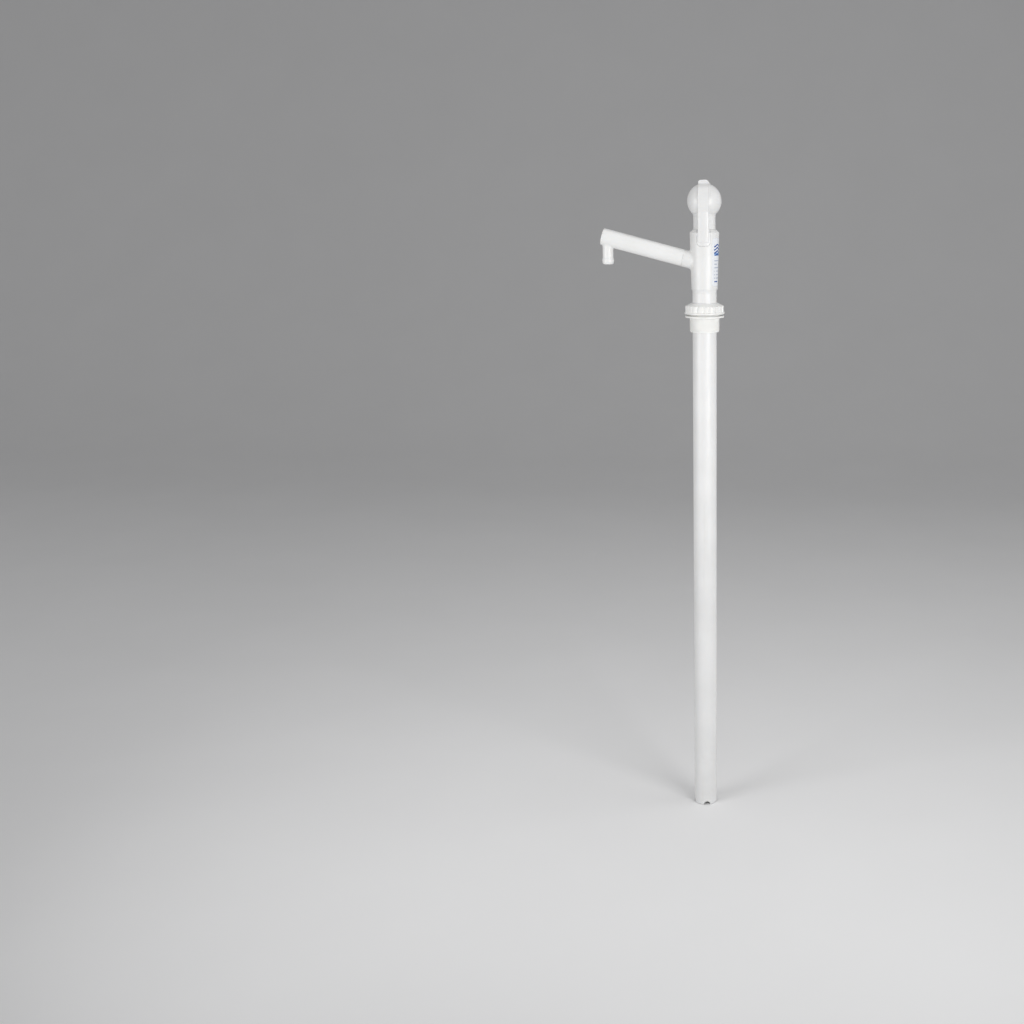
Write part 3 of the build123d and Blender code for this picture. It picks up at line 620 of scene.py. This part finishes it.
def adapter():
    """Bung adapter with its two inch thread, flange and the crown's coarse thread."""
    low, bore_r, root_r, rows_per_pitch = adapter_low.z, TUBE_R + 0.2, THREAD_R - THREAD_DEPTH, 10
    chamfer, relief, gap, run_in, flange_inset, flange_round = 1.6, 0.8, 0.4, 1.5, 4.0, 1.0
    crown_root_r = CROWN_R - CROWN_DEPTH
    path = arc_corners([(bore_r, CONE_FOOT_Z, 0), (bore_r, low, 0.5), (root_r - gap, low, gap)])
    path += [(THREAD_R, z) for z in np.arange(low + chamfer, -relief, THREAD_PITCH / rows_per_pitch)]
    path += [(root_r, -gap), (root_r + 0.3, -0.02)]
    path += arc_corners([
        (FLANGE_R - flange_inset, 0.0, 0), (FLANGE_R, 0.0, flange_round),
        (FLANGE_R, FLANGE_T, flange_round), (FLANGE_R - flange_inset, FLANGE_T, 0),
    ])
    path += [(crown_root_r + gap, FLANGE_T + 0.02), (crown_root_r, FLANGE_T + gap)]
    crown_rows = np.arange(FLANGE_T + relief, CROWN_Z - CROWN_DEPTH, CROWN_PITCH / rows_per_pitch)
    path += [(CROWN_R, z) for z in crown_rows]
    path += [(crown_root_r, CROWN_Z - gap), (crown_root_r - gap, CROWN_Z)]
    path += [(CONE_TOP_R, CROWN_Z), (CONE_FOOT_R, CONE_FOOT_Z)]

    def thread_radius(radius, height, angles):
        """Rings at the crest radius get the helical thread, which fades out at both of its ends."""
        if radius == THREAD_R:
            fade = min(1.0, (height - low - 3 * gap) / run_in, (-gap - height) / run_in)
            return root_r + THREAD_DEPTH * thread_crest(height, THREAD_PITCH, angles) * max(fade, 0.0)
        if radius == CROWN_R:
            return crown_root_r + CROWN_DEPTH * thread_crest(height, CROWN_PITCH, angles)
        return np.full(len(angles), radius)

    points, faces = lathe(path, 160, radius_at=thread_radius)
    add_mesh("adapter", points, faces, "adapter", "adapter_plastic", adapter_white, "bung_adapter")


adapter()


def place_on_spout(points):
    """Turn points made about Z into points about the spout's axis."""
    slope = SPOUT_SLOPE
    x, y, z = points.T
    along = np.array([-cos(slope), 0, sin(slope)])
    across = np.array([sin(slope), 0, cos(slope)])
    sideways = np.array([0, 1.0, 0])
    return np.array([0, 0, SPOUT_START_Z]) + np.outer(x, sideways) + np.outer(y, across) + np.outer(z, along)


def spout():
    """Straight spout pipe, and the domed disc that closes it."""
    segments, corner_steps = 128, 3
    corners = arc_corners([
        (SPOUT_R, BOSS_END, 0.25), (SPOUT_R, SPOUT_END, 0.3), (SPOUT_BORE_R, SPOUT_END, 0),
        (SPOUT_BORE_R, BOSS_END - SPIGOT_L, 0), (SPIGOT_R, BOSS_END - SPIGOT_L, 0), (SPIGOT_R, BOSS_END, 0),
    ], corner_steps)
    wall = [(SPOUT_R, z) for z in np.linspace(BOSS_END + 10, SPOUT_END - 10, 14)]
    path = corners[:corner_steps + 1] + wall + corners[corner_steps + 1:]
    points, faces = lathe(path, segments)
    add_mesh("spout", place_on_spout(points), faces, "barrel", "spout_plastic", spout_white, "spout_tube")
    end, bulge, pole_r = SPOUT_END + CAP_T, 0.5, 0.01
    # the first two points only aim the arcs of the other two
    aimed = [
        (pole_r, end, 0), (pole_r, SPOUT_END, 0), (SPOUT_R, SPOUT_END, 0.25), (SPOUT_R, end - bulge, 1.7),
    ]
    dome = [(pole_r, SPOUT_END + 0.05)] + arc_corners(aimed, 6)[2:]
    for share in (0.85, 0.7, 0.5, 0.3, 0.15, 0.05, 0.01):
        dome.append((SPOUT_R * share, end - bulge * share**2))
    dome.append((pole_r, end))
    points, faces = lathe(dome, segments)
    add_mesh("spout_cap", place_on_spout(points), faces, "barrel", "spout_plastic", spout_white,
             "spout_end_cap")


spout()


def label():
    """Printed film bent round the +X side of the head, with rounded corners."""
    columns, rows, corner = 48, 60, 4.0
    width = LABEL_SWEEP * head_radius((LABEL_Z + LABEL_TOP_Z) / 2)
    height = LABEL_TOP_Z - LABEL_Z
    points, uvs, faces = [], [], []
    for lift in (LABEL_BACK, LABEL_FRONT):
        for i in range(rows + 1):
            for j in range(columns + 1):
                u, v = j / columns, i / rows
                end_gap = min(v, 1 - v) * height
                inset_w = corner - sqrt(max(corner**2 - max(corner - end_gap, 0) ** 2, 0))
                u_in = inset_w / width + u * (1 - 2 * inset_w / width)
                z = LABEL_Z + v * height
                angle = LABEL_START + u_in * LABEL_SWEEP
                radius = head_radius(z) + lift
                points.append((radius * cos(angle), radius * sin(angle), z))
                uvs.append((u_in, v))
    side = (rows + 1) * (columns + 1)
    for i in range(rows):
        for j in range(columns):
            a = i * (columns + 1) + j
            b = a + columns + 1
            faces.append((a, b, b + 1, a + 1))
            faces.append((side + a, side + a + 1, side + b + 1, side + b))
    rim = list(range(columns))
    rim += [i * (columns + 1) + columns for i in range(rows)]
    rim += [rows * (columns + 1) + j for j in range(columns, 0, -1)]
    rim += [i * (columns + 1) for i in range(rows, 0, -1)]
    for a, b in zip(rim, rim[1:] + rim[:1]):
        faces.append((a, b, side + b, side + a))
    piece = add_mesh("label_print", points, faces, "barrel", "label_film", label_print, "label")
    layer = piece.data.uv_layers.new(name="UVMap")
    for loop in piece.data.loops:
        layer.data[loop.index].uv = uvs[loop.vertex_index]


label()

# CAD pieces that keep their own shape
KEPT = {
    inner_white: (
        "grip_collet", "thrust_washer", "head_guide_bush", "knob_hub", "rod_stop_collar", "piston_seat",
        "piston_cage", "piston_valve_ball", "foot_valve_body", "foot_valve_cage", "foot_valve_ball",
    ),
    pipe_white: ("piston_rod",),
    seal_black: ("rod_oring", "piston_cup_seal", "foot_valve_oring"),
    pin_metal: ("knob_pin", "piston_pin"),
}
for material, nodes in KEPT.items():
    for node in nodes:
        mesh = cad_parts[node].data
        mesh.materials.clear()
        mesh.materials.append(material)

# ---------------------------------------------------------------- floor, light and camera


def backdrop():
    """Pale floor, painted darker with distance as painted shade, that curves up into a wall behind, without
    an edge.
    """
    n = Nodes("backdrop_with_painted_shade")
    split = n.add("ShaderNodeSeparateXYZ")
    n.link(n.position, split.inputs["Vector"])
    # painted shade: the colour goes from pale near the pump to grey far away, for the light's falloff
    near = n.mix(n.noise(3.0), (0.89, 0.89, 0.89), (0.93, 0.93, 0.93))
    far = n.mix(n.noise(3.0), (0.68, 0.68, 0.68), (0.71, 0.71, 0.71))
    far_start, far_end = 0.2, 3.5
    n.link(n.mix(n.ramp(split.outputs["Y"], far_start, far_end), near, far), n.shader.inputs["Base Color"])
    n.link(n.ramp(n.noise(40.0), 0.3, 0.7, 0.85, 0.95), n.shader.inputs["Roughness"])
    n.shader.inputs["Specular IOR Level"].default_value = 0.1
    reach, cove_start, cove_r, wall_top, steps = 600.0, 3.0, 3.0, 9.0, 24
    ground = (FOOT_Z - 1.0) * MM
    turns = [pi / 2 * i / steps for i in range(steps + 1)]
    path = [(-reach, ground)]
    path += [(cove_start + cove_r * sin(turn), ground + cove_r * (1 - cos(turn))) for turn in turns]
    path.append((cove_start + cove_r, ground + wall_top))
    points = [(x, y, z) for y, z in path for x in (-reach, reach)]
    faces = [(2 * i, 2 * i + 1, 2 * i + 3, 2 * i + 2) for i in range(len(path) - 1)]
    mesh = bpy.data.meshes.new("backdrop")
    mesh.from_pydata(points, [], faces)
    mesh.polygons.foreach_set("use_smooth", [True] * len(faces))
    mesh.materials.append(n.material)
    sweep = bpy.data.objects.new("backdrop", mesh)
    bpy.context.scene.collection.objects.link(sweep)


def area_light(name, place, target, size, power, spread=180):
    """A rectangular light aimed at a target, with its power in watts and its spread in degrees."""
    light = bpy.data.lights.new(name, "AREA")
    light.shape = "RECTANGLE"
    light.size, light.size_y = size
    light.energy = power
    light.spread = radians(spread)
    lamp = bpy.data.objects.new(name, light)
    lamp.location = place
    lamp.rotation_euler = (Vector(target) - Vector(place)).to_track_quat("-Z", "Y").to_euler()
    bpy.context.scene.collection.objects.link(lamp)


def studio():
    """Soft light: banks at the front right, front left, right and top, and an even grey surround."""
    world = bpy.data.worlds.new("studio")
    world.use_nodes = True
    surround = world.node_tree.nodes["Background"]
    surround.inputs["Color"].default_value = (0.385, 0.385, 0.39, 1)
    surround.inputs["Strength"].default_value = 1.0
    bpy.context.scene.world = world
    area_light("key", (1.15, -1.35, 0.0), (0, 0, -0.05), (0.9, 1.2), 8.5, 120)
    area_light("fill", (-1.35, -1.15, 0.0), (0, 0, -0.05), (0.9, 1.2), 5.7, 120)
    area_light("side", (2.6, 0.2, 0.8), (0, 0, 0), (1.6, 1.6), 6.4)
    area_light("top", (0.2, -0.4, 2.6), (0, 0, 0), (2.0, 2.0), 16.2)


def camera():
    """The viewpoint: a little right of the front, at the height of the knob."""
    lens = bpy.data.cameras.new("camera")
    lens.lens = 44.41
    lens.sensor_width = 36.0
    lens.shift_x = -0.1886
    eye = bpy.data.objects.new("camera", lens)
    eye.location = (0.1974, -2.5473, 0.2278)
    yaw, pitch, roll = radians(4.43), radians(13.86), radians(-0.145)
    level = Euler((pi / 2 - pitch, 0, yaw), "XYZ").to_matrix()
    eye.rotation_euler = (level @ Matrix.Rotation(roll, 3, "Z")).to_euler()
    bpy.context.scene.collection.objects.link(eye)
    bpy.context.scene.camera = eye


backdrop()
studio()
camera()
bpy.context.scene.view_settings.view_transform = "Standard"
